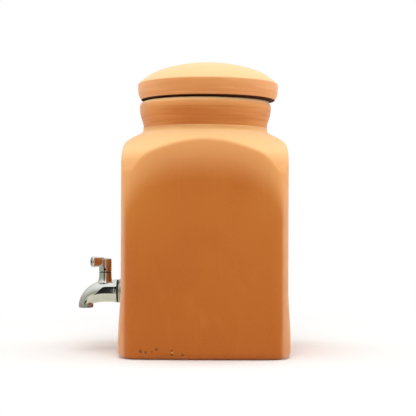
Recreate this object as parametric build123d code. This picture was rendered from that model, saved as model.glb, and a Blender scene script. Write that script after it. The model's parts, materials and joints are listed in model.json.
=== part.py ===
from build123d import *
import math
import os

# Terracotta water jar with a loose lid and a chromed tap, in millimetres.
# The jar is thrown round and then pressed square, so four faces cut into a round shoulder.
# The origin is the centre of the foot, +Z is up, and the tap points along -Y.

# Jar, outside
face_distance = 99.9
face_bulge = 2.2
corner_radius = 24.0
foot_flare = 3.0
foot_flare_bottom = 18.0
foot_flare_top = 84.0
foot_rounding = 11.0
foot_start_angle = 25.0
foot_steps = 5
foot_mould_clearance = 0.3
lean_start = 236.0
lean_radius = 160.0
lean_rise = 35.0
thrown_radius = 131.0
shoulder_start = 212.0
shoulder_top = 271.4
shoulder_softness = 7.5
shoulder_top_slope = 25.0
shoulder_shares = [(0.300, 0.868), (0.560, 0.694), (0.740, 0.566), (0.877, 0.402), (0.962, 0.210)]

# Jar, neck and lip
neck_root_radius = 78.8
neck_root_lean = 24.0
neck_waist_radius = 77.5
neck_waist_rise = 6.2
neck_crease_rounding = 4.2
neck_bead_rise = 5.2
neck_bead_radius = 1.0
neck_bead_sink = 0.6
lip_radius = 82.4
lip_rise = 39.2
lip_side = 7.4
lip_rounding = 6.4
mouth_radius = 70.0
mouth_rounding = 2.5

# Jar, inside
wall = 8.5
shoulder_wall = 8.0
floor_thickness = 11.0
inside_foot_rounding = 9.0
throat_rounding = 6.0

# Lid
lid_shift = 3.2
lid_set_back = 2.0
lid_seat_radius = 77.6
lid_seat_height = 2.0
lid_bottom_radius = 83.6
lid_top_radius = 88.2
lid_band_height = 20.4
lid_band_shares = [(0.50, 0.20), (0.86, 0.46), (0.99, 0.78)]
lid_dome_height = 26.0
lid_bottom_rounding = 1.6
lid_edge_rounding = 3.5
lid_thickness = 10.0
lid_ring_radius = 65.0
lid_ring_thickness = 7.0
lid_ring_depth = 13.0
lid_ring_rounding = 2.0
dome_edge_slope = 36.0
dome_shares = [(0.92, 0.23), (0.83, 0.43), (0.70, 0.64), (0.47, 0.86)]

# Tap, its place and its body
tap_height = 72.8
barrel_radius = 13.8
barrel_length = 7.3
flange_radius = 14.5
flange_thickness = 3.2
flange_rounding = 0.5
shank_radius = 8.0
shank_chamfer = 0.8
shank_overhang = 3.5
inlet_radius = 4.6
boss_offset = 11.5
boss_radius = 7.8
boss_height = 23.3
boss_foot_top = 21.0
boss_foot_bottom = 11.0
boss_foot_spread = 2.4
spout_reach = 35.65
spout_crown_drop = 34.8
spout_steps = 6
water_turn_radius = 16.3
tip_radius = 9.15
tip_length = 4.6
tip_rounding = 1.0
outlet_radius = 6.4

# Tap, valve
plug_radius = 5.4
plug_drop = 8.6
plug_clearance = 0.05
plug_end_play = 0.3
port_radius = 2.6
stem_radius = 3.2
stem_rise = 9.0
stem_flat_depth = 0.5
stem_flat_height = 6.4
o_ring_thickness = 1.5
o_ring_clearance = 0.02
o_ring_groove_play = 0.1
lower_o_ring_drop = 5.6
upper_o_ring_rise = 12.0
gland_radius = 6.1
gland_height = 4.0
gland_clearance = 0.05
gland_play = 0.1
slip_ring_radius = 7.4
slip_ring_thickness = 1.0
slip_ring_clearance = 0.1

# Tap, handle
handle_turn = 25.0
hub_radius = 7.8
hub_height = 16.0
hub_crown = 1.2
hub_bottom_chamfer = 0.5
socket_clearance = 0.05
socket_end_play = 0.3
arm_width = 14.0
arm_reach = 6.2
arm_rise = 6.0
arm_rounding = 1.0
lever_radius = 6.8
lever_root_radius = 5.9
lever_rise = 12.5
lever_start = 3.0
lever_reach = 18.3
lever_rounding = 1.6
lever_hole_radius = 1.9
lever_hole_depth = 6.0
grub_radius = 1.5
grub_length = 3.5
grub_rise = 3.2
grub_socket_across = 1.5
grub_socket_depth = 1.4
grub_clearance = 0.05

# Tap, its seat in the wall
hole_clearance = 1.0
tap_seat_depth = 0.4
tap_seat_clearance = 0.6
escutcheon_radius = 15.8
escutcheon_front_radius = 14.2
escutcheon_sheet = 1.4
escutcheon_depth = 6.5
escutcheon_clearance = 0.2
outer_gasket_radius = 14.3
outer_gasket_thickness = 2.3
outer_gasket_rounding = 0.5
inner_gasket_radius = 14.0
inner_gasket_thickness = 3.0
washer_radius = 13.0
washer_thickness = 1.5
nut_across_flats = 23.0
nut_thickness = 6.5
nut_chamfer = 0.8
thread_clearance = 0.1

# One overrun for every cut that has to pass a face, and one tolerance for finding an edge
overrun = 5.0
edge_tolerance = 0.02

# Places worked out from the sizes above
face_middle = face_distance + face_bulge
flat_half = face_distance - corner_radius
bulge_radius = (flat_half ** 2 + face_bulge ** 2) / (2 * face_bulge)
inner_face = face_distance - wall
neck_waist_height = shoulder_top + neck_waist_rise
neck_bead_height = shoulder_top + neck_bead_rise
lip_height = shoulder_top + lip_rise
lip_start = lip_height - lip_side
inner_shoulder_top = shoulder_top - shoulder_wall
lid_bottom = lip_height + lid_seat_height
lid_edge = lid_bottom + lid_band_height
tap_seat = face_middle - tap_seat_depth
escutcheon_front = tap_seat + escutcheon_depth
flange_back = escutcheon_front + outer_gasket_thickness
barrel_start = flange_back + flange_thickness
barrel_end = barrel_start + barrel_length
barrel_top = tap_height + barrel_radius
barrel_bottom = tap_height - barrel_radius
boss_place = barrel_start + boss_offset
tip_place = barrel_start + spout_reach
tip_top = tap_height - water_turn_radius
tip_bottom = tip_top - tip_length
water_turn_start = tip_place - water_turn_radius
spout_crown_end = math.acos(1 - (barrel_top - tip_top) / spout_crown_drop)
spout_crown_reach = (tip_place + tip_radius - barrel_end) / math.sin(spout_crown_end)
spout_throat_reach = tip_place - tip_radius - barrel_end
spout_throat_drop = barrel_bottom - tip_top
washer_back = inner_face - inner_gasket_thickness
nut_back = washer_back - washer_thickness
shank_end = nut_back - nut_thickness - shank_overhang
boss_top = tap_height + boss_height
hub_bottom = boss_top + slip_ring_thickness
chamber_radius = plug_radius + plug_clearance
plug_bottom = tap_height - plug_drop
plug_top = boss_top - gland_height - gland_play
grub_start = stem_radius - stem_flat_depth


def outline(*edges):
    """A flat face in the XZ plane, bounded by the edges."""
    return Plane.XZ * make_face(list(edges))


def on_tap_axis(piece):
    """Turns a piece built up from the origin along +Z so that it lies along the tap's axis."""
    return Pos(0, 0, tap_height) * Rot(90, 0, 0) * piece


def rod(radius, start, end):
    """A cylinder on the tap's axis, between two distances in front of the centre line."""
    return on_tap_axis(Pos(0, 0, start) * extrude(Circle(radius), amount=end - start))


def sleeve(outer, inner, start, end):
    """A washer on the tap's axis."""
    return rod(outer, start, end) - rod(inner, start - overrun, end + overrun)


def post(radius, bottom, top):
    """An upright cylinder on the valve's axis."""
    return Pos(0, -boss_place, bottom) * extrude(Circle(radius), amount=top - bottom)


def ring_edges(piece, axis, radius, place):
    """The round edges of a piece at one radius and one place along an axis."""
    found = []
    for edge in piece.edges().filter_by(GeomType.CIRCLE).filter_by_position(
        axis, place - edge_tolerance, place + edge_tolerance
    ):
        if abs(edge.radius - radius) < edge_tolerance:
            found.append(edge)
    return found


def pressed_side():
    """A big round slab whose rim is one slightly bulging, flared and leaning side of the jar."""
    flared = face_middle + foot_flare
    lean_depth = lean_radius - math.sqrt(lean_radius ** 2 - lean_rise ** 2)
    lean_top = lean_start + lean_rise
    middle = face_middle - bulge_radius
    top = lip_height + overrun
    side = outline(
        Line((middle, 0), (flared, 0)),
        Line((flared, 0), (flared, foot_flare_bottom)),
        Spline([(flared, foot_flare_bottom), (face_middle, foot_flare_top)], tangents=[(0, 1), (0, 1)]),
        Line((face_middle, foot_flare_top), (face_middle, lean_start)),
        TangentArc((face_middle, lean_start), (face_middle - lean_depth, lean_top), tangent=(0, 1)),
        Line((face_middle - lean_depth, lean_top), (face_middle - lean_depth, top)),
        Line((face_middle - lean_depth, top), (middle, top)),
        Line((middle, top), (middle, 0)),
    )
    return revolve(side, Axis((middle, 0, 0), (0, 0, 1)))


def pressed_column():
    """Four pressed sides with rounded corners between them."""
    side = pressed_side()
    column = side
    for turn in (90, 180, 270):
        column = column & side.rotate(Axis.Z, turn)
    corners = []
    for edge in column.edges():
        place = edge.center()
        on_diagonal = abs(abs(place.X) - abs(place.Y)) < corner_radius / 2
        if on_diagonal and 0 < place.Z < lean_start + lean_rise:
            corners.append(edge)
    return fillet(corners, corner_radius)


def pressed_section(half, corner, height):
    """A level square with slightly bulging sides and round corners."""
    centre = bulge_radius - half
    reach = bulge_radius - corner
    place = (math.sqrt(2 * reach ** 2 - centre ** 2) - centre) / 2
    stretch = bulge_radius / reach
    near = ((place + centre) * stretch - centre, place * stretch)
    tip = place + corner * math.sqrt(0.5)
    quarter = [
        ThreePointArc((near[0], -near[1]), (half, 0), near),
        ThreePointArc(near, (tip, tip), (near[1], near[0])),
    ]
    edges = [edge.rotate(Axis.Z, turn) for turn in (0, 90, 180, 270) for edge in quarter]
    return Pos(0, 0, height) * make_face(edges)


def foot_mould():
    """What rounds the bottom edge: a stack of sections that widens like a quarter round."""
    start = math.radians(foot_start_angle)
    sections = []
    for step in range(foot_steps + 1):
        angle = start + (math.radians(90) - start) * step / foot_steps
        inset = foot_rounding * (1 - math.sin(angle)) - foot_mould_clearance
        height = foot_rounding * (math.cos(start) - math.cos(angle))
        sections.append(pressed_section(face_middle + foot_flare - inset, corner_radius - inset, height))
    return loft(sections) + extrude(sections[-1], amount=lip_height + overrun, dir=(0, 0, 1))


def shoulder_curve(root, reach, top):
    """The thrown shoulder, from the foot of the neck down to the jar's widest round."""
    points = [(root, top)]
    for run_share, rise_share in shoulder_shares:
        run = (reach - root) * run_share
        rise = (top - shoulder_start) * rise_share
        points.append((root + run, shoulder_start + rise))
    points.append((reach, shoulder_start))
    slope = math.radians(shoulder_top_slope)
    return Spline(points, tangents=[(math.cos(slope), -math.sin(slope)), (0, -1)])


def thrown_jar():
    """The round jar as it leaves the wheel, solid."""
    reach = thrown_radius + foot_flare
    lean = math.radians(neck_root_lean)
    neck = Spline(
        [(neck_root_radius, shoulder_top), (neck_waist_radius, neck_waist_height), (lip_radius, lip_start)],
        tangents=[(-math.sin(lean), math.cos(lean)), (0, 1)],
    )
    profile = outline(
        Line((0, 0), (reach, 0)),
        Line((reach, 0), (reach, foot_flare_top)),
        Line((reach, foot_flare_top), (thrown_radius, shoulder_start)),
        shoulder_curve(neck_root_radius, thrown_radius, shoulder_top),
        neck,
        Line((lip_radius, lip_start), (lip_radius, lip_height)),
        Line((lip_radius, lip_height), (0, lip_height)),
        Line((0, lip_height), (0, 0)),
    )
    return revolve(profile, Axis.Z)


def shoulder_edges(jar):
    """The edges where the pressed sides cut into the thrown shoulder."""
    found = []
    for edge in jar.edges():
        place = edge.center()
        outside = math.hypot(place.X, place.Y) > neck_root_radius + corner_radius / 2
        if outside and min(edge.position_at(0).Z, edge.position_at(1).Z) > shoulder_start:
            found.append(edge)
    return found


def jar_hollow():
    """The space inside the jar: a rounded column under a thrown shoulder, and the mouth."""
    column = extrude(Rectangle(2 * inner_face, 2 * inner_face), amount=shoulder_top)
    column = Pos(0, 0, floor_thickness) * fillet(column.edges().filter_by(Axis.Z), corner_radius - wall)
    reach = thrown_radius - shoulder_wall
    dome = outline(
        Line((0, 0), (reach, 0)),
        Line((reach, 0), (reach, shoulder_start)),
        shoulder_curve(mouth_radius, reach, inner_shoulder_top),
        Line((mouth_radius, inner_shoulder_top), (0, inner_shoulder_top)),
        Line((0, inner_shoulder_top), (0, 0)),
    )
    hollow = column & revolve(dome, Axis.Z)
    floor_edges = hollow.edges().filter_by_position(
        Axis.Z, floor_thickness - edge_tolerance, floor_thickness + edge_tolerance
    )
    hollow = fillet(floor_edges, inside_foot_rounding)
    throat = inner_shoulder_top - overrun
    return hollow + Pos(0, 0, throat) * extrude(Circle(mouth_radius), amount=lip_height + overrun - throat)


def jar_body():
    jar = thrown_jar() & pressed_column() & foot_mould()
    jar = fillet(shoulder_edges(jar), shoulder_softness)
    jar = fillet(ring_edges(jar, Axis.Z, neck_root_radius, shoulder_top), neck_crease_rounding)
    jar = jar + Pos(0, 0, neck_bead_height) * Torus(neck_waist_radius - neck_bead_sink, neck_bead_radius)
    jar = fillet(ring_edges(jar, Axis.Z, lip_radius, lip_height), lip_rounding)
    jar = jar - jar_hollow()
    jar = fillet(ring_edges(jar, Axis.Z, mouth_radius, inner_shoulder_top), throat_rounding)
    jar = fillet(ring_edges(jar, Axis.Z, mouth_radius, lip_height), mouth_rounding)
    jar = jar - rod(escutcheon_radius + tap_seat_clearance, tap_seat, face_middle + foot_flare + overrun)
    return jar - rod(shank_radius + hole_clearance, inner_face - overrun, tap_seat + overrun)


def dome_point(run_share, rise_share):
    return (lid_top_radius * run_share, lid_edge + lid_dome_height * rise_share)


def lid():
    """The domed lid with its band and seat, hollow below, and the ring that keeps it in the mouth."""
    crown = lid_edge + lid_dome_height
    ring_inside = lid_ring_radius - lid_ring_thickness
    ring_bottom = lip_height - lid_ring_depth
    slope = math.radians(dome_edge_slope)
    band = [(lid_bottom_radius, lid_bottom)]
    for run_share, rise_share in lid_band_shares:
        run = (lid_top_radius - lid_bottom_radius) * run_share
        band.append((lid_bottom_radius + run, lid_bottom + lid_band_height * rise_share))
    band.append((lid_top_radius, lid_edge))
    profile = outline(
        Line((lid_ring_radius, lip_height), (lid_seat_radius, lip_height)),
        Line((lid_seat_radius, lip_height), (lid_seat_radius, lid_bottom)),
        Line((lid_seat_radius, lid_bottom), (lid_bottom_radius, lid_bottom)),
        Spline(band),
        Spline(
            [(lid_top_radius, lid_edge), *[dome_point(*share) for share in dome_shares], (0, crown)],
            tangents=[(-math.cos(slope), math.sin(slope)), (-1, 0)],
        ),
        Line((0, crown), (0, crown - lid_thickness)),
        TangentArc((0, crown - lid_thickness), (ring_inside, lid_edge), tangent=(1, 0)),
        Line((ring_inside, lid_edge), (ring_inside, ring_bottom)),
        Line((ring_inside, ring_bottom), (lid_ring_radius, ring_bottom)),
        Line((lid_ring_radius, ring_bottom), (lid_ring_radius, lip_height)),
    )
    piece = revolve(profile, Axis.Z)
    piece = fillet(ring_edges(piece, Axis.Z, lid_top_radius, lid_edge), lid_edge_rounding)
    piece = fillet(ring_edges(piece, Axis.Z, lid_bottom_radius, lid_bottom), lid_bottom_rounding)
    piece = fillet(ring_edges(piece, Axis.Z, lid_ring_radius, ring_bottom), lid_ring_rounding)
    piece = fillet(ring_edges(piece, Axis.Z, ring_inside, ring_bottom), lid_ring_rounding)
    return Pos(-lid_set_back, lid_shift, 0) * piece


def spout_station(share):
    """A round section of the spout that spans from its throat to its crown, at a share of the way round."""
    crown_turn = spout_crown_end * share
    crown_forward = barrel_end + spout_crown_reach * math.sin(crown_turn)
    crown_height = barrel_top - spout_crown_drop * (1 - math.cos(crown_turn))
    throat_turn = math.radians(90 * share)
    throat_forward = barrel_end + spout_throat_reach * math.sin(throat_turn)
    throat_height = barrel_bottom - spout_throat_drop * (1 - math.cos(throat_turn))
    crown = Vector(0, -crown_forward, crown_height)
    throat = Vector(0, -throat_forward, throat_height)
    across = crown - throat
    flow = Vector(1, 0, 0).cross(across)
    middle = (crown + throat) * 0.5
    return Plane(origin=middle, x_dir=(1, 0, 0), z_dir=flow) * Circle(across.length / 2)


def spout_bend():
    """The curved part of the spout: an oval crown over a nearly straight throat."""
    return loft([spout_station(step / spout_steps) for step in range(spout_steps + 1)])


def water_turn():
    """The quarter turn of the water way, from the barrel down to the spout's end."""
    section = Pos(0, -tip_place, tip_top) * Circle(outlet_radius)
    return revolve(section, Axis((0, -water_turn_start, tip_top), (-1, 0, 0)), revolution_arc=90)


def spout_end(radius, extra):
    """The straight upright end of the spout, from the bend down, with some extra length."""
    height = tip_length + extra
    return Pos(0, -tip_place, tip_bottom - extra) * extrude(Circle(radius), amount=height)


def boss_foot():
    """The flared foot that carries the valve boss on the barrel."""
    top = tap_height + boss_foot_top
    bottom = tap_height + boss_foot_bottom
    spread = boss_radius + boss_foot_spread
    profile = outline(
        Line((0, tap_height), (spread, tap_height)),
        Line((spread, tap_height), (spread, bottom)),
        Spline([(spread, bottom), (boss_radius, top)], tangents=[(-1, 1), (0, 1)]),
        Line((boss_radius, top), (0, top)),
        Line((0, top), (0, tap_height)),
    )
    return Pos(0, -boss_place, 0) * revolve(profile, Axis.Z)


def tap_body():
    """Threaded shank, flange, barrel, valve boss and bent spout, cast in one with its water way."""
    flange = rod(flange_radius, flange_back, barrel_start)
    flange = fillet(ring_edges(flange, Axis.Y, flange_radius, -barrel_start), flange_rounding)
    shank = rod(shank_radius, shank_end, flange_back)
    shank = chamfer(ring_edges(shank, Axis.Y, shank_radius, -shank_end), shank_chamfer)
    spout = spout_end(tip_radius, 0)
    spout = fillet(ring_edges(spout, Axis.Z, tip_radius, tip_bottom), tip_rounding)
    body = rod(barrel_radius, barrel_start, barrel_end) + spout_bend()
    body = body + boss_foot() + post(boss_radius, tap_height, boss_top) + spout + flange + shank
    body = body - rod(inlet_radius, shank_end - overrun, boss_place - chamber_radius)
    body = body - rod(port_radius, boss_place - plug_radius - overrun, water_turn_start + port_radius)
    body = body - water_turn() - spout_end(outlet_radius, overrun)
    body = body - post(chamber_radius, plug_bottom - plug_end_play, boss_top + overrun)
    return body - post(gland_radius + gland_clearance, boss_top - gland_height, boss_top + overrun)


def o_ring(height):
    """A rubber ring in the plug's groove, reaching to the wall of the valve chamber."""
    section = o_ring_thickness / 2
    centre_radius = chamber_radius - o_ring_clearance - section
    return Pos(0, -boss_place, height) * Torus(centre_radius, section)


def o_ring_groove(height):
    half = o_ring_thickness / 2 + o_ring_groove_play
    floor_radius = chamber_radius - o_ring_thickness - o_ring_groove_play
    outer = post(chamber_radius + overrun, height - half, height + half)
    return outer - post(floor_radius, height - half, height + half)


def turned_on_valve(piece):
    """Turns a piece about the valve's upright axis from straight ahead to where the lever stands."""
    axis = Axis((0, -boss_place, 0), (0, 0, 1))
    return piece.rotate(axis, handle_turn)


def valve_plug():
    """The turning plug: a cross hole for the water, two seal grooves and a stem with a flat."""
    plug = post(plug_radius, plug_bottom, plug_top)
    for height in (tap_height - lower_o_ring_drop, tap_height + upper_o_ring_rise):
        plug = plug - o_ring_groove(height)
    cross = Pos(0, -boss_place, tap_height) * Rot(0, 90, 0)
    reach = plug_radius + overrun
    port = cross * Pos(0, 0, -reach) * extrude(Circle(port_radius), amount=2 * reach)
    plug = plug - turned_on_valve(port)
    stem = post(stem_radius, plug_top - overrun, boss_top + stem_rise)
    flat = Box(stem_radius, 2 * stem_radius, stem_flat_height, align=(Align.MIN, Align.CENTER, Align.MIN))
    return plug + (stem - Pos(grub_start, -boss_place, hub_bottom) * flat)


def gland():
    """The threaded bush in the top of the boss that holds the plug down."""
    bush = post(gland_radius, boss_top - gland_height, boss_top)
    hole = stem_radius + gland_clearance
    return bush - post(hole, boss_top - gland_height - overrun, boss_top + overrun)


def slip_ring():
    """The thin black ring that the handle turns on."""
    hole = stem_radius + slip_ring_clearance
    return post(slip_ring_radius, boss_top, hub_bottom) - post(hole, boss_top - overrun, hub_bottom + overrun)


def on_lever_axis(piece):
    """Lays a piece built up along +Z from the valve's axis out along the lever, straight ahead."""
    return Pos(0, -boss_place, hub_bottom + lever_rise) * Rot(90, 0, 0) * piece


def arm():
    """The flat-sided arm of the hub that carries the lever."""
    height = hub_height - arm_rise
    block = Box(arm_width, arm_reach, height, align=(Align.CENTER, Align.MAX, Align.MIN))
    block = fillet(block.edges().filter_by(Axis.Z).group_by(Axis.Y)[0], arm_rounding)
    return Pos(0, -boss_place, hub_bottom + arm_rise) * block


def lever():
    """The short round lever, thicker outwards, with a hole in its rounded end."""
    length = lever_reach - lever_start
    piece = Cone(lever_root_radius, lever_radius, length, align=(Align.CENTER, Align.CENTER, Align.MIN))
    piece = fillet(ring_edges(piece, Axis.Z, lever_radius, length), lever_rounding)
    hole = extrude(Circle(lever_hole_radius), amount=lever_hole_depth + overrun)
    piece = piece - Pos(0, 0, length - lever_hole_depth) * hole
    return on_lever_axis(Pos(0, 0, lever_start) * piece)


def handle():
    """The hub with its crowned top, its arm with the lever, and the socket for the stem."""
    shoulder = hub_bottom + hub_height
    crown = shoulder + hub_crown
    profile = outline(
        Line((0, hub_bottom), (hub_radius - hub_bottom_chamfer, hub_bottom)),
        Line((hub_radius - hub_bottom_chamfer, hub_bottom), (hub_radius, hub_bottom + hub_bottom_chamfer)),
        Line((hub_radius, hub_bottom + hub_bottom_chamfer), (hub_radius, shoulder)),
        TangentArc((0, crown), (hub_radius, shoulder), tangent=(1, 0)),
        Line((0, crown), (0, hub_bottom)),
    )
    hub = Pos(0, -boss_place, 0) * revolve(profile, Axis.Z)
    piece = hub + turned_on_valve(arm() + lever())
    socket_top = boss_top + stem_rise + socket_end_play
    piece = piece - post(stem_radius + socket_clearance, hub_bottom - overrun, socket_top)
    hole = extrude(Circle(grub_radius + grub_clearance), amount=hub_radius + overrun)
    return piece - on_grub_axis(hole)


def on_grub_axis(piece):
    """Lays a piece built up along +Z from the valve's axis out through the hub's camera-side wall."""
    return Pos(0, -boss_place, hub_bottom + grub_rise) * Rot(0, 90, 0) * piece


def grub_screw():
    """The small headless screw that holds the handle on the stem's flat."""
    screw = extrude(Circle(grub_radius), amount=grub_length)
    key = extrude(RegularPolygon(grub_socket_across / 2, 6, major_radius=False), amount=grub_length)
    screw = screw - Pos(0, 0, grub_length - grub_socket_depth) * key
    return on_grub_axis(Pos(0, 0, grub_start) * screw)


def escutcheon():
    """The dished steel ring between the tap and the wall."""
    front = escutcheon_front
    inside_front = front - escutcheon_sheet
    hole = shank_radius + escutcheon_clearance
    profile = outline(
        Spline(
            [(escutcheon_radius, tap_seat), (escutcheon_front_radius, front)],
            tangents=[(0, 1), (-1, 1)],
        ),
        Line((escutcheon_front_radius, front), (hole, front)),
        Line((hole, front), (hole, inside_front)),
        Line((hole, inside_front), (escutcheon_front_radius - escutcheon_sheet, inside_front)),
        Spline(
            [
                (escutcheon_front_radius - escutcheon_sheet, inside_front),
                (escutcheon_radius - escutcheon_sheet, tap_seat),
            ],
            tangents=[(1, -1), (0, -1)],
        ),
        Line((escutcheon_radius - escutcheon_sheet, tap_seat), (escutcheon_radius, tap_seat)),
    )
    return on_tap_axis(revolve(profile, Axis.Z))


def outer_gasket():
    """The black rubber ring behind the tap's flange."""
    ring = sleeve(outer_gasket_radius, shank_radius + thread_clearance, escutcheon_front, flange_back)
    edges = ring_edges(ring, Axis.Y, outer_gasket_radius, -escutcheon_front)
    edges += ring_edges(ring, Axis.Y, outer_gasket_radius, -flange_back)
    return fillet(edges, outer_gasket_rounding)


def inner_gasket():
    return sleeve(inner_gasket_radius, shank_radius + thread_clearance, washer_back, inner_face)


def inner_washer():
    return sleeve(washer_radius, shank_radius + thread_clearance, nut_back, washer_back)


def lock_nut():
    """The hexagon nut inside the jar that draws the tap to the wall."""
    start = nut_back - nut_thickness
    blank = extrude(RegularPolygon(nut_across_flats / 2, 6, major_radius=False), amount=nut_thickness)
    corner_radius_of_nut = nut_across_flats / 2 / math.cos(math.radians(30))
    turned = extrude(Circle(corner_radius_of_nut), amount=nut_thickness)
    turned = chamfer(turned.edges().filter_by(GeomType.CIRCLE), nut_chamfer)
    nut = on_tap_axis(Pos(0, 0, start) * (blank & turned))
    return nut - rod(shank_radius + thread_clearance, start - overrun, nut_back + overrun)


pieces = {
    "jar_body": jar_body,
    "lid": lid,
    "tap_body": tap_body,
    "valve_plug": valve_plug,
    "lower_o_ring": lambda: o_ring(tap_height - lower_o_ring_drop),
    "upper_o_ring": lambda: o_ring(tap_height + upper_o_ring_rise),
    "gland_bush": gland,
    "slip_ring": slip_ring,
    "tap_handle": handle,
    "handle_grub_screw": grub_screw,
    "escutcheon": escutcheon,
    "outer_gasket": outer_gasket,
    "inner_gasket": inner_gasket,
    "inner_washer": inner_washer,
    "lock_nut": lock_nut,
}

os.makedirs("parts", exist_ok=True)
for name, make in pieces.items():
    export_step(make(), os.path.join("parts", name + ".step"))
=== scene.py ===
import json
import math

import bpy
from mathutils import Euler, Matrix, Vector

# A squared earthenware water jar with a loose lid and a chromed tap, in metres.
# +Z is up, the tap points along -Y and the photographed face looks along +X.
# A span holds its low and high end, and then the level at each where they aren't 0 and 1.

# Camera
CAMERA_DISTANCE = 1.386
CAMERA_SIDE = 0.0038
CAMERA_HEIGHT = 0.1777
CAMERA_ROLL = 0.22
LENS = 95.2
SENSOR = 36.0

# Lamps: name, place, size, watts; each one looks at the middle of the jar
LAMP_TARGET = (0.0, 0.0, 0.20)
LAMPS = (
    ("top_box", (0.10, 0.0, 1.55), 1.30, 17.0),
    ("left_box", (-0.30, -1.55, 0.60), 1.20, 9.0),
    ("right_box", (-0.30, 1.55, 0.60), 1.20, 12.0),
    ("front_box", (1.60, 0.0, 1.45), 1.30, 13.0),
)
WORLD_LEVEL = 0.26
WORLD_TINT = (1.0, 0.985, 0.96)
WHITE = (1.0, 1.0, 1.0)

# What the tap mirrors: a sky that darkens towards the horizon, and a floor under it
MIRROR_HIGH = (1.25, 1.27, 1.24)
MIRROR_LEVEL = (0.50, 0.51, 0.43)
MIRROR_FLOOR = (0.93, 0.93, 0.70)
MIRROR_RISE = (0.0, 0.95)
MIRROR_AWAY = (0.40, 1.00)
MIRROR_SHADE = 0.75

# Floor
FLOOR_HALF = 6.0
FLOOR_DROP = 0.0002
FLOOR_TONE = (0.90, 0.90, 0.89)
FLOOR_ROUGHNESS = 0.9
FLOOR_SPECULAR = 0.1
FLOOR_AWAY = (0.16, 0.55)

# The dark card, whose left edge leans out with the distance
CARD_NEAR = 0.18
CARD_BACK = 1.90
CARD_TOP = 2.20
CARD_LEFT = -0.142
CARD_SPREAD = 0.36
CARD_RIGHT = -0.111
CARD_TONE = (0.036, 0.036, 0.034)

# Which way a place is measured or a noise is stretched
EVENLY = (1.0, 1.0, 1.0)
FROM_ABOVE = (1.0, 1.0, 0.0)
FROM_THE_CAMERA = (0.0, 1.0, 1.0)
ORIGIN = (0.0, 0.0, 0.0)

# Clay tones: the jar's, then the lid's, which is paler
CLAY = (0.560, 0.160, 0.022)
CLAY_DARK = (0.500, 0.130, 0.016)
CLAY_PALE = (0.740, 0.310, 0.090)
CLAY_PAINTED_LIGHT = (0.860, 0.395, 0.140)
CLAY_SIDE_LIGHT = (0.800, 0.340, 0.060)
CLAY_PALEST = (0.880, 0.530, 0.290)
CLAY_TOP_LIGHT = (0.880, 0.535, 0.232)
CLAY_PIT = (0.200, 0.060, 0.012)
LID_CLAY = (0.790, 0.330, 0.110)
LID_DARK = (0.700, 0.260, 0.075)
LID_PALE = (0.860, 0.430, 0.190)
LID_TOP_LIGHT = (0.870, 0.560, 0.270)
RIM_PAINTED_SHADE = (0.070, 0.018, 0.004)

# Clay texture: broad clouds, upright combing and wipes, fine grain, and turning lines round neck and lid
CLOUDS = dict(scale=9.0, detail=3.0, roughness=0.55)
COMBING = dict(scale=110.0, stretch=(1.0, 1.0, 0.05))
WIPES = dict(scale=30.0, detail=3.0, stretch=(1.0, 1.0, 0.35), distortion=0.4)
GRAIN = dict(scale=900.0, roughness=0.7)
TURNING = dict(scale=240.0, stretch=(0.05, 0.05, 1.0))
CLOUDS_DARK = (0.35, 0.75)
COMBING_PALE = (0.60, 0.80, 0.0, 0.14)
WIPES_PALE = (0.60, 0.82, 0.0, 0.14)
GRAIN_PALE = (0.35, 0.75, 0.0, 0.12)
TURNING_FROM = (0.255, 0.275)
TURNING_PALE = (0.50, 0.64, 0.0, 0.30)
TURNING_DARK = (0.36, 0.50, 0.30, 0.0)
TOP_LIGHT_FACING = (0.12, 0.80)
CLOUDS_RELIEF = 0.0012
COMBING_RELIEF = 0.00018
GRAIN_RELIEF = 0.00012
CLAY_ROUGHNESS = (0.3, 0.7, 0.72, 0.86)
CLAY_SPECULAR = 0.20
CLAY_SHEEN = 0.40
SHEEN_ROUGHNESS = 0.40

# The painted light under the shoulder's arches follows the thrown shoulder's own curve
NECK_ROOT = 0.0788
SHOULDER_REACH = 0.0522
SHOULDER_BASE = 0.212
SHOULDER_RISE = 0.0523
ARCH_LIGHT_FADE = (0.0, 0.052, 0.86, 0.0)

# Painted shade darkens the foot, and painted light makes the neck, its sides, the crease under it and
# the lip paler
FOOT_PAINTED_SHADE = (0.0, 0.20, 0.80, 0.0)
NECK_FROM = (0.262, 0.272)
NECK_LEVEL = 0.20
ASIDE_PAINTED_LIGHT = (0.015, 0.080, 0.0, 0.45)
CREASE_FROM = (0.2660, 0.2700)
CREASE_TO = (0.2768, 0.2777, 0.75, 0.0)
LIP_PAINTED_LIGHT = (0.296, 0.309, 0.0, 0.85)
LIP_EDGE_PAINTED_LIGHT = (0.3064, 0.3084, 0.0, 0.75)

# The upright corners are paler, as painted light and partly as handling dust, and the sides of each
# face's upper half a little paler, as painted light
CORNER_SHIFT = 0.0012
CORNER_SIDEWAYS = (0.0905, 0.0960, 0.0, 0.52)
CORNER_FORWARD = (0.050, 0.080)
CORNER_CLOUDS = dict(scale=26.0, detail=3.0)
CORNER_PATCHES = (0.35, 0.65, 0.75, 1.0)
SIDE_OUTWARD = (0.030, 0.088)
SIDE_UPWARD = (0.120, 0.210, 0.0, 0.22)

# Painted shade: the underside of the lid's rim is dark outside its seat
LID_MIDDLE = (-0.0020, 0.0032, 0.0)
RIM_OUTWARD = (0.0770, 0.0774)
RIM_UPWARD = (0.3129, 0.3136, 1.0, 0.0)

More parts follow.
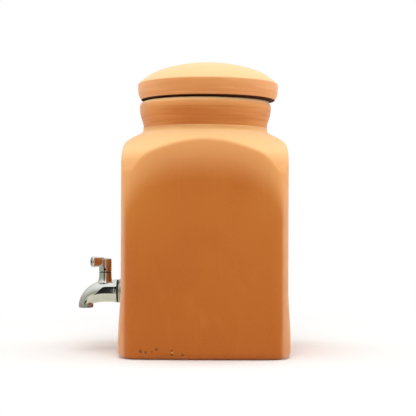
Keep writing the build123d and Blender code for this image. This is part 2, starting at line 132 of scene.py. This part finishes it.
# Pits and chips low on the camera's side of the jar: sideways place, height, radius
FACE_SIDE = 0.09
PITS = (
    (-0.0744, 0.0101, 0.0024),
    (-0.0686, 0.0089, 0.0017),
    (-0.0609, 0.0096, 0.0013),
    (-0.0557, 0.0124, 0.0022),
    (-0.0382, 0.0108, 0.0015),
    (-0.0378, 0.0062, 0.0021),
    (-0.0254, 0.0064, 0.0018),
)
CHIPS = ((-0.0374, 0.0088, 0.0018),)
SPOT_CORE = 0.3
SPOT_EDGE = 1.2
PIT_LEVEL = 0.75
PIT_RELIEF = 0.0010
THUMB_PLACE = (0.0, 0.0458, 0.0880)
THUMB_REACH = (0.0, 0.0120)
THUMB_RELIEF = 0.0006

# Metals: tone and roughness, the smears on them and the way that they are brushed
CHROME = ((0.62, 0.62, 0.61), 0.025, EVENLY)
STEEL = ((0.42, 0.39, 0.35), 0.22, (0.05, 1.0, 1.0))
BRASS = ((0.72, 0.52, 0.22), 0.25, (1.0, 1.0, 0.05))
SMEARS = dict(scale=120.0, detail=3.0, stretch=(1.0, 1.0, 0.4))
SMEARS_DARK = (0.35, 0.75, 0.0, 0.5)
SMEARS_SHADE = 0.86
SMEARS_DULL = (0.3, 0.8)
SMEARS_ROUGHER = 1.6
BRUSHING = dict(scale=900.0, detail=1.0)
BRUSHING_RELIEF = 0.000012

# The mouth of the spout is dull with lime
LIME_BELOW = (0.0555, 0.0585, 1.0, 0.0)
LIME_LEVEL = 0.60
LIME_ROUGHNESS = 0.40
LIME_TONE = (0.300, 0.300, 0.265)

# Rubber
RUBBER_BLACK = (0.012, 0.012, 0.012)
RUBBER_GREY = (0.040, 0.038, 0.036)
RUBBER_DUST = dict(scale=300.0, detail=3.0)
RUBBER_DUSTED = (0.5, 0.9)
RUBBER_ROUGHNESS = (0.3, 0.8, 0.45, 0.65)
RUBBER_RELIEF = 0.00005


class Nodes:
    """A node tree, put together node by node."""

    def __init__(self, tree, place):
        self.tree = tree
        self.tree.nodes.clear()
        self.place = self.add("ShaderNodeTexCoord").outputs[place]

    def add(self, kind, **settings):
        node = self.tree.nodes.new(kind)
        for name, value in settings.items():
            setattr(node, name, value)
        return node

    def link(self, source, target):
        self.tree.links.new(source, target)

    def feed(self, socket, value):
        """Links a socket to another node's output, or sets it to a number or a colour."""
        if isinstance(value, bpy.types.NodeSocket):
            self.link(value, socket)
        elif isinstance(value, tuple) and len(value) == 3 and len(socket.default_value) == 4:
            socket.default_value = (*value, 1.0)
        else:
            socket.default_value = value

    def math(self, operation, first, second=0.0, third=0.0):
        node = self.add("ShaderNodeMath", operation=operation)
        for socket, value in zip(node.inputs, (first, second, third)):
            self.feed(socket, value)
        return node.outputs[0]

    def times(self, first, second):
        return self.math("MULTIPLY", first, second)

    def larger(self, first, second):
        return self.math("MAXIMUM", first, second)

    def less(self, first, second):
        return self.math("SUBTRACT", first, second)

    def span(self, value, low, high, out_low=0.0, out_high=1.0):
        """Maps a value smoothly from one span to another, and holds it at both ends."""
        node = self.add("ShaderNodeMapRange", interpolation_type="SMOOTHSTEP")
        self.feed(node.inputs["Value"], value)
        self.feed(node.inputs["From Min"], low)
        self.feed(node.inputs["From Max"], high)
        self.feed(node.inputs["To Min"], out_low)
        self.feed(node.inputs["To Max"], out_high)
        return node.outputs["Result"]

    def mix(self, factor, first, second):
        """Blends two colours."""
        node = self.add("ShaderNodeMix", data_type="RGBA")
        colours = [socket for socket in node.inputs if socket.type == "RGBA"]
        self.feed(node.inputs["Factor"], factor)
        self.feed(colours[0], first)
        self.feed(colours[1], second)
        return [socket for socket in node.outputs if socket.type == "RGBA"][0]

    def light(self, kind, colour, strength=1.0):
        node = self.add(kind)
        self.feed(node.inputs["Color"], colour)
        self.feed(node.inputs["Strength"], strength)
        return node.outputs[0]

    def mix_light(self, factor, first, second):
        """Blends two shaders."""
        node = self.add("ShaderNodeMixShader")
        self.feed(node.inputs["Fac"], factor)
        self.link(first, node.inputs[1])
        self.link(second, node.inputs[2])
        return node.outputs[0]

    def axis(self, index):
        node = self.add("ShaderNodeSeparateXYZ")
        self.link(self.place, node.inputs[0])
        return node.outputs[index]

    def by_height(self, *span):
        return self.span(self.axis(2), *span)


class Shader(Nodes):
    """One node material."""

    def __init__(self, name):
        self.material = bpy.data.materials.new(name)
        self.material.use_nodes = True
        super().__init__(self.material.node_tree, "Object")
        self.surface = self.add("ShaderNodeBsdfPrincipled")
        self.output = self.add("ShaderNodeOutputMaterial")
        self.link(self.surface.outputs["BSDF"], self.output.inputs["Surface"])

    def set(self, **values):
        """Sets the surface's own sockets, named with underscores for spaces."""
        for name, value in values.items():
            self.feed(self.surface.inputs[name.replace("_", " ")], value)

    def stretched(self, scale):
        node = self.add("ShaderNodeMapping")
        self.link(self.place, node.inputs["Vector"])
        node.inputs["Scale"].default_value = scale
        return node.outputs[0]

    def noise(self, scale, detail=2.0, roughness=0.5, stretch=EVENLY, distortion=0.0):
        node = self.add("ShaderNodeTexNoise")
        self.link(self.stretched(stretch), node.inputs["Vector"])
        node.inputs["Scale"].default_value = scale
        node.inputs["Detail"].default_value = detail
        node.inputs["Roughness"].default_value = roughness
        node.inputs["Distortion"].default_value = distortion
        return node.outputs["Fac"]

    def off_centre(self, index):
        """How far a place is from the jar's middle along one axis."""
        return self.math("ABSOLUTE", self.axis(index))

    def apart(self, stretch, point):
        """The distance from a point, along the axes that the stretch keeps."""
        node = self.add("ShaderNodeVectorMath", operation="DISTANCE")
        self.link(self.stretched(stretch), node.inputs[0])
        node.inputs[1].default_value = point
        return node.outputs["Value"]

    def spots(self, places):
        """1 on each round spot of the face towards the camera, and 0 elsewhere."""
        found = 0.0
        for side, height, radius in places:
            apart = self.apart(FROM_THE_CAMERA, (0.0, side, height))
            spot = self.span(apart, SPOT_CORE * radius, SPOT_EDGE * radius, 1.0, 0.0)
            found = self.larger(found, spot)
        return self.times(found, self.math("GREATER_THAN", self.axis(0), FACE_SIDE))

    def facing_up(self):
        """How far the surface looks up, from -1 to 1, before any bump."""
        geometry = self.add("ShaderNodeNewGeometry")
        node = self.add("ShaderNodeSeparateXYZ")
        self.link(geometry.outputs["Normal"], node.inputs[0])
        return node.outputs[2]

    def bump(self, height, depth, under=None):
        node = self.add("ShaderNodeBump")
        self.feed(node.inputs["Height"], height)
        node.inputs["Distance"].default_value = depth
        node.inputs["Strength"].default_value = 1.0
        if under is not None:
            self.link(under, node.inputs["Normal"])
        return node.outputs["Normal"]


def arch_painted_light(shader):
    """Painted light, strong at the arches that the flat faces cut into the shoulder, and fading out
    below them.
    """
    across = shader.apart(FROM_ABOVE, ORIGIN)
    out = shader.math("DIVIDE", shader.less(across, NECK_ROOT), SHOULDER_REACH)
    out = shader.math("MINIMUM", shader.larger(out, 0.0), 1.0)
    rise = shader.math("SQRT", shader.less(1.0, shader.math("POWER", out, 2.0)))
    arch = shader.math("MULTIPLY_ADD", rise, SHOULDER_RISE, SHOULDER_BASE)
    fade = shader.span(shader.less(arch, shader.axis(2)), *ARCH_LIGHT_FADE)
    return shader.times(fade, shader.by_height(*NECK_FROM, 1.0, 0.0))


def corner_dust_and_light(shader):
    """How pale the upright corners are: painted light, partly as handling dust."""
    beside = shader.math("ABSOLUTE", shader.math("ADD", shader.axis(1), CORNER_SHIFT))
    forward = shader.span(shader.off_centre(0), *CORNER_FORWARD)
    corner = shader.times(shader.span(beside, *CORNER_SIDEWAYS), forward)
    return shader.times(corner, shader.span(shader.noise(**CORNER_CLOUDS), *CORNER_PATCHES))


def side_painted_light(shader):
    """A faint painted light at the sides of each face's upper half."""
    outward = shader.math("MINIMUM", shader.off_centre(0), shader.off_centre(1))
    return shader.times(shader.span(outward, *SIDE_OUTWARD), shader.by_height(*SIDE_UPWARD))


def rim_shade(shader):
    """1 where shade is painted on the underside of the lid's rim, outside its seat."""
    outward = shader.span(shader.apart(FROM_ABOVE, LID_MIDDLE), *RIM_OUTWARD)
    return shader.times(outward, shader.by_height(*RIM_UPWARD))


def jar_tones(shader, tone, dark, top_light):
    """Lays painted shade and painted light, partly as handling dust at the corners, over the clay's
    tone.
    """
    # Painted shade: darker towards the foot
    tone = shader.mix(shader.by_height(*FOOT_PAINTED_SHADE), tone, dark)
    # Painted light: paler at the sides of each face's upper half
    tone = shader.mix(side_painted_light(shader), tone, CLAY_SIDE_LIGHT)
    # Painted light on the upright corners, partly as handling dust
    tone = shader.mix(corner_dust_and_light(shader), tone, CLAY_PALEST)
    # Painted light under the shoulder's arches
    tone = shader.mix(arch_painted_light(shader), tone, CLAY_PAINTED_LIGHT)
    # Painted light: the neck and everything above it a little paler
    tone = shader.mix(shader.by_height(*NECK_FROM, 0.0, NECK_LEVEL), tone, CLAY_PAINTED_LIGHT)
    # Painted light on the lip's rounding and its edge
    tone = shader.mix(shader.by_height(*LIP_PAINTED_LIGHT), tone, CLAY_PAINTED_LIGHT)
    tone = shader.mix(shader.by_height(*LIP_EDGE_PAINTED_LIGHT), tone, CLAY_PALEST)
    # Painted light in the crease under the neck
    crease = shader.times(shader.by_height(*CREASE_FROM), shader.by_height(*CREASE_TO))
    return shader.mix(crease, tone, top_light)


def jar_marks(shader, tone, relief, pale):
    """Pits and chips near the foot, and a thumb's dent."""
    pits = shader.spots(PITS)
    tone = shader.mix(shader.times(pits, PIT_LEVEL), tone, CLAY_PIT)
    tone = shader.mix(shader.spots(CHIPS), tone, pale)
    thumb = shader.span(shader.apart(FROM_THE_CAMERA, THUMB_PLACE), *THUMB_REACH)
    relief = shader.bump(thumb, THUMB_RELIEF, under=relief)
    return tone, shader.bump(shader.less(1.0, pits), PIT_RELIEF, under=relief)


def clay_material(name, body, dark, pale, top_light, of_jar):
    """Unglazed low-fired clay with painted light on what faces up, for the jar or for its lid."""
    shader = Shader(name)
    clouds = shader.noise(**CLOUDS)
    combing = shader.noise(**COMBING)
    wipes = shader.noise(**WIPES)
    grain = shader.noise(**GRAIN)
    turning = shader.noise(**TURNING)
    sheen = CLAY_SHEEN
    tone = shader.mix(shader.span(clouds, *CLOUDS_DARK), body, dark)
    # Painted light: paler towards the sides, from the neck up
    aside_light = shader.times(shader.span(shader.off_centre(1), *ASIDE_PAINTED_LIGHT), shader.by_height(*NECK_FROM))
    tone = shader.mix(aside_light, tone, pale)
    if of_jar:
        tone = jar_tones(shader, tone, dark, top_light)
    tone = shader.mix(shader.span(combing, *COMBING_PALE), tone, pale)
    tone = shader.mix(shader.span(wipes, *WIPES_PALE), tone, pale)
    thrown = shader.by_height(*TURNING_FROM)
    tone = shader.mix(shader.times(thrown, shader.span(turning, *TURNING_PALE)), tone, pale)
    tone = shader.mix(shader.times(thrown, shader.span(turning, *TURNING_DARK)), tone, dark)
    # Painted light: paler on what faces up
    tone = shader.mix(shader.span(shader.facing_up(), *TOP_LIGHT_FACING), tone, top_light)
    tone = shader.mix(shader.span(grain, *GRAIN_PALE), tone, pale)
    relief = shader.bump(clouds, CLOUDS_RELIEF)
    relief = shader.bump(combing, COMBING_RELIEF, under=relief)
    if of_jar:
        tone, relief = jar_marks(shader, tone, relief, pale)
    else:
        # Painted shade on the underside of the lid's rim, with less sheen there
        under = rim_shade(shader)
        tone = shader.mix(under, tone, RIM_PAINTED_SHADE)
        sheen = shader.times(CLAY_SHEEN, shader.less(1.0, under))
    shader.set(
        Base_Color=tone,
        Roughness=shader.span(wipes, *CLAY_ROUGHNESS),
        Sheen_Weight=sheen,
        Sheen_Roughness=SHEEN_ROUGHNESS,
        Specular_IOR_Level=CLAY_SPECULAR,
        Normal=shader.bump(grain, GRAIN_RELIEF, under=relief),
    )
    return shader.material


def metal_material(name, tone, roughness, brushed, limed=False):
    """Polished or brushed metal with faint smears, and dull with lime at the spout's mouth if limed."""
    shader = Shader(name)
    smears = shader.noise(**SMEARS)
    lines = shader.noise(**BRUSHING, stretch=brushed)
    smeared = tuple(SMEARS_SHADE * part for part in tone)
    colour = shader.mix(shader.span(smears, *SMEARS_DARK), tone, smeared)
    gloss = shader.span(smears, *SMEARS_DULL, roughness, SMEARS_ROUGHER * roughness)
    metallic = 1.0
    if limed:
        lime = shader.by_height(*LIME_BELOW)
        colour = shader.mix(lime, colour, LIME_TONE)
        gloss = shader.larger(shader.times(lime, LIME_ROUGHNESS), gloss)
        metallic = shader.less(1.0, shader.times(lime, LIME_LEVEL))
    shader.set(
        Base_Color=colour,
        Metallic=metallic,
        Roughness=gloss,
        Normal=shader.bump(lines, BRUSHING_RELIEF),
    )
    return shader.material


def rubber_material(name):
    """Black rubber with a dull, slightly uneven skin."""
    shader = Shader(name)
    dust = shader.noise(**RUBBER_DUST)
    shader.set(
        Base_Color=shader.mix(shader.span(dust, *RUBBER_DUSTED), RUBBER_BLACK, RUBBER_GREY),
        Roughness=shader.span(dust, *RUBBER_ROUGHNESS),
        Normal=shader.bump(dust, RUBBER_RELIEF),
    )
    return shader.material


def dress(frame, materials):
    """Gives each CAD node its own material, or else the one of its slot in the record."""
    for part in frame["record"]["subparts"]:
        node = frame["nodes"][part["node"]]
        material = materials.get(part["node"], materials[part["material_slot"]])
        node.data.materials.clear()
        node.data.materials.append(material)


def flat_mesh(name, corners, faces):
    mesh = bpy.data.meshes.new(name)
    mesh.from_pydata(corners, [], faces)
    mesh.update()
    piece = bpy.data.objects.new(name, mesh)
    bpy.context.scene.collection.objects.link(piece)
    return piece


def floor_material():
    """Pale near the jar, where it takes the shadow, and plain white further out."""
    shader = Shader("floor_white")
    shader.set(Base_Color=FLOOR_TONE, Roughness=FLOOR_ROUGHNESS, Specular_IOR_Level=FLOOR_SPECULAR)
    path = shader.add("ShaderNodeLightPath").outputs
    distance = shader.apart(EVENLY, ORIGIN)
    mirrored = shader.mix(shader.span(distance, *MIRROR_AWAY), MIRROR_FLOOR, MIRROR_LEVEL)
    glow = shader.light("ShaderNodeEmission", shader.mix(path["Is Glossy Ray"], WHITE, mirrored))
    seen = shader.larger(path["Is Camera Ray"], path["Is Glossy Ray"])
    seen = shader.larger(seen, path["Is Transmission Ray"])
    away = shader.times(shader.span(distance, *FLOOR_AWAY), seen)
    near = shader.times(path["Is Glossy Ray"], MIRROR_SHADE)
    blend = shader.mix_light(shader.larger(away, near), shader.surface.outputs["BSDF"], glow)
    shader.link(blend, shader.output.inputs["Surface"])
    return shader.material


def add_floor():
    half = FLOOR_HALF
    corners = [(-half, -half, 0.0), (half, -half, 0.0), (half, half, 0.0), (-half, half, 0.0)]
    floor = flat_mesh("studio_floor", corners, [(0, 1, 2, 3)])
    floor.location.z = -FLOOR_DROP
    floor.data.materials.append(floor_material())


def add_dark_card():
    """The narrow dark card on the camera's side that the barrel of the tap mirrors as a strip."""
    def across(forward, side):
        return side + (side - CAMERA_SIDE) * forward / CAMERA_DISTANCE

    corners = []
    for forward, height in ((CARD_NEAR, 0.0), (CARD_BACK, 0.0), (CARD_BACK, CARD_TOP)):
        corners.append((forward, across(forward, CARD_LEFT) - CARD_SPREAD * forward, height))
        corners.append((forward, across(forward, CARD_RIGHT), height))
    card = flat_mesh("dark_card", corners, [(0, 2, 3, 1), (2, 4, 5, 3)])
    shader = Shader("card_dark")
    shader.set(Base_Color=CARD_TONE, Roughness=1.0, Specular_IOR_Level=0.0)
    card.data.materials.append(shader.material)
    card.visible_camera = False
    card.visible_diffuse = False
    card.visible_shadow = False


def add_lamps():
    target = Vector(LAMP_TARGET)
    for name, place, size, watts in LAMPS:
        lamp = bpy.data.lights.new(name, "AREA")
        lamp.shape = "SQUARE"
        lamp.size = size
        lamp.energy = watts
        holder = bpy.data.objects.new(name, lamp)
        holder.location = place
        holder.rotation_euler = (target - Vector(place)).to_track_quat("-Z", "Y").to_euler()
        holder.visible_glossy = False
        bpy.context.scene.collection.objects.link(holder)


def add_camera():
    camera = bpy.data.cameras.new("camera")
    camera.lens = LENS
    camera.sensor_width = SENSOR
    holder = bpy.data.objects.new("camera", camera)
    level = Euler((math.radians(90), 0.0, math.radians(90))).to_matrix()
    roll = Matrix.Rotation(math.radians(CAMERA_ROLL), 3, "Z")
    holder.location = (CAMERA_DISTANCE, CAMERA_SIDE, CAMERA_HEIGHT)
    holder.rotation_euler = (level @ roll).to_euler()
    bpy.context.scene.collection.objects.link(holder)
    bpy.context.scene.camera = holder


def add_world():
    """White to the camera, a sky of two tones to mirrors, and a plain dim level to everything else."""
    world = bpy.data.worlds.new("studio")
    world.use_nodes = True
    nodes = Nodes(world.node_tree, "Generated")
    path = nodes.add("ShaderNodeLightPath").outputs
    sky = nodes.mix(nodes.by_height(*MIRROR_RISE), MIRROR_LEVEL, MIRROR_HIGH)
    lit = nodes.light("ShaderNodeBackground", WORLD_TINT, WORLD_LEVEL)
    mirrored = nodes.light("ShaderNodeBackground", sky)
    seen = nodes.light("ShaderNodeBackground", WHITE)
    to_mirror = nodes.larger(path["Is Glossy Ray"], path["Is Transmission Ray"])
    blend = nodes.mix_light(to_mirror, lit, mirrored)
    blend = nodes.mix_light(path["Is Camera Ray"], blend, seen)
    nodes.link(blend, nodes.add("ShaderNodeOutputWorld").inputs["Surface"])
    bpy.context.scene.world = world


with open("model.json") as file:
    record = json.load(file)
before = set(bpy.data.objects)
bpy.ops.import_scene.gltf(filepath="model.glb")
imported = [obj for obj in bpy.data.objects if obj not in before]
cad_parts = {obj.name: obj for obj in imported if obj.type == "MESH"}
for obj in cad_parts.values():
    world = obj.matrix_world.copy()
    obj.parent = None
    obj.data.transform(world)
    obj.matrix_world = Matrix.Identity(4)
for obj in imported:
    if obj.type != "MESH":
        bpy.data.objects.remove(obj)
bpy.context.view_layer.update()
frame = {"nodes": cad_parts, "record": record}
add_camera()
add_world()
add_lamps()
add_floor()
add_dark_card()
dress(frame, {
    "terracotta": clay_material(
        "terracotta_body", CLAY, CLAY_DARK, CLAY_PALE, CLAY_TOP_LIGHT, of_jar=True
    ),
    "lid": clay_material("terracotta_lid", LID_CLAY, LID_DARK, LID_PALE, LID_TOP_LIGHT, of_jar=False),
    "chrome": metal_material("chrome", *CHROME),
    "tap_body": metal_material("chrome_limed", *CHROME, limed=True),
    "handle_grub_screw": rubber_material("black_oxide"),
    "steel": metal_material("steel", *STEEL),
    "brass": metal_material("brass", *BRASS),
    "rubber": rubber_material("rubber"),
})
bpy.context.scene.view_settings.view_transform = "Standard"
